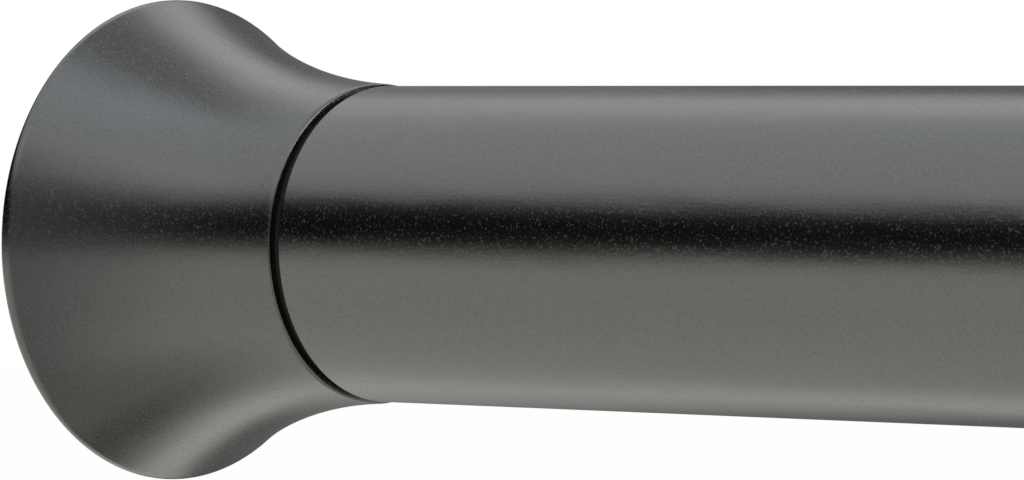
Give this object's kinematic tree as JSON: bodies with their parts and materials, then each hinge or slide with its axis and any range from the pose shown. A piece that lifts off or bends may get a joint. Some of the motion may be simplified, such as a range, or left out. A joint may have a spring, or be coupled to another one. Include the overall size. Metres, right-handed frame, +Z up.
{
  "type": "spring tension rod",
  "caption": "Telescoping tube rod with flared end caps and soft wall pads, held between two walls by an inner spring and a twist lock.",
  "frame": {"origin": "centre of the left wall pad's face, where the rod meets the left wall", "axes": "+X along the rod towards the other wall, +Z up, +Y away from the viewer"},
  "size_m": [0.61, 0.0396, 0.0396],
  "materials": {
    "tube_finish": "satin pewter metallic coat with fine grain",
    "cap_finish": "satin pewter metallic paint",
    "pad_rubber": "matt",
    "dark_plastic": "matt black moulding",
    "natural_nylon": "natural nylon",
    "plated_steel": "bright zinc plate",
    "spring_steel": "oiled spring steel",
    "elastic_rubber": "matt"
  },
  "bodies": {
    "outer": {"left_wall_pad": "pad_rubber", "left_end_cap": "cap_finish", "left_cap_screw": "plated_steel", "left_tube_plug": "dark_plastic", "outer_tube": "tube_finish", "tube_collar": "dark_plastic"},
    "expander": {"expander_sleeve": "natural_nylon", "expander_ring": "elastic_rubber"},
    "wedge": {"wedge_nut": "natural_nylon"},
    "lock": {"lock_rod": "plated_steel", "rod_nuts": "plated_steel", "hub_clip": "spring_steel", "thrust_washer": "plated_steel", "spring_seat": "natural_nylon", "tension_spring": "spring_steel", "end_washer": "plated_steel"},
    "inner": {"inner_tube_bush": "natural_nylon", "inner_tube": "tube_finish", "right_tube_plug": "dark_plastic", "right_end_cap": "cap_finish", "right_cap_screw": "plated_steel", "right_wall_pad": "pad_rubber"}
  },
  "joints": [
    {"name": "telescope", "type": "slide", "parent": "outer", "child": "expander", "axis": [1, 0, 0], "range_m": [0, 0.304]},
    {"name": "twist", "type": "hinge", "parent": "expander", "child": "lock", "pos_m": [0.0775, 0, 0], "axis": [-1, 0, 0], "range_deg": [0, 540]},
    {"name": "wedge_travel", "type": "slide", "parent": "expander", "child": "wedge", "axis": [1, 0, 0], "range_m": [0, 0.003]},
    {"name": "spring_travel", "type": "slide", "parent": "lock", "child": "inner", "axis": [1, 0, 0], "range_m": [-0.025, 0], "stiffness_N_per_m": 2700, "springref_m": 0.008, "deforming": ["tension_spring"]}
  ],
  "couplings": [
    {"joint": "wedge_travel", "follows": "twist", "m_per_rad": 0.0003183}
  ]
}
